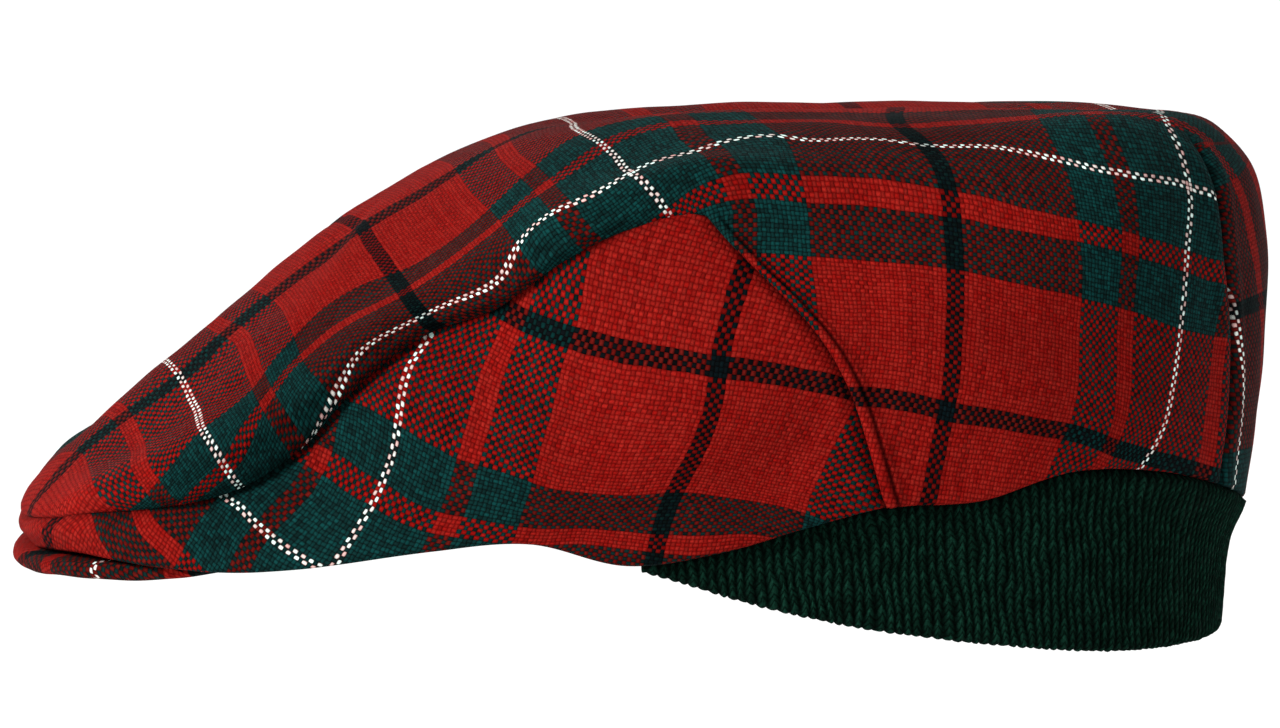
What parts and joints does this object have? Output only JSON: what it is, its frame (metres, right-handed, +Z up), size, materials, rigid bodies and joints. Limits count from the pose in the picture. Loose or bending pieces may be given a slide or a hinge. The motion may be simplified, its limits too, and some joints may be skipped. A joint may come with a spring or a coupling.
{
  "type": "flat cap",
  "caption": "Flat cap of tartan cloth: low crown running forward over a short stiff peak, front side panels under a soft fold, and a rib-knitted ear band folded down at the sides and back.",
  "frame": {"origin": "centre of the head opening, level with the middle of its rim", "axes": "-X points to the peak, -Y to the wearer's left, +Z up"},
  "size_m": [0.2704, 0.1772, 0.1132],
  "materials": {
    "tartan_cloth": "plain-woven wool tartan, bright red crossed by teal green and near-black bands with thin white and red lines",
    "knit_rib": "one-and-one rib knit in very dark green yarn"
  },
  "bodies": {
    "root": {"crown_top": "tartan_cloth", "side_panel_left": "tartan_cloth", "side_panel_right": "tartan_cloth", "peak": "tartan_cloth", "ear_band": "knit_rib"}
  },
  "joints": []
}
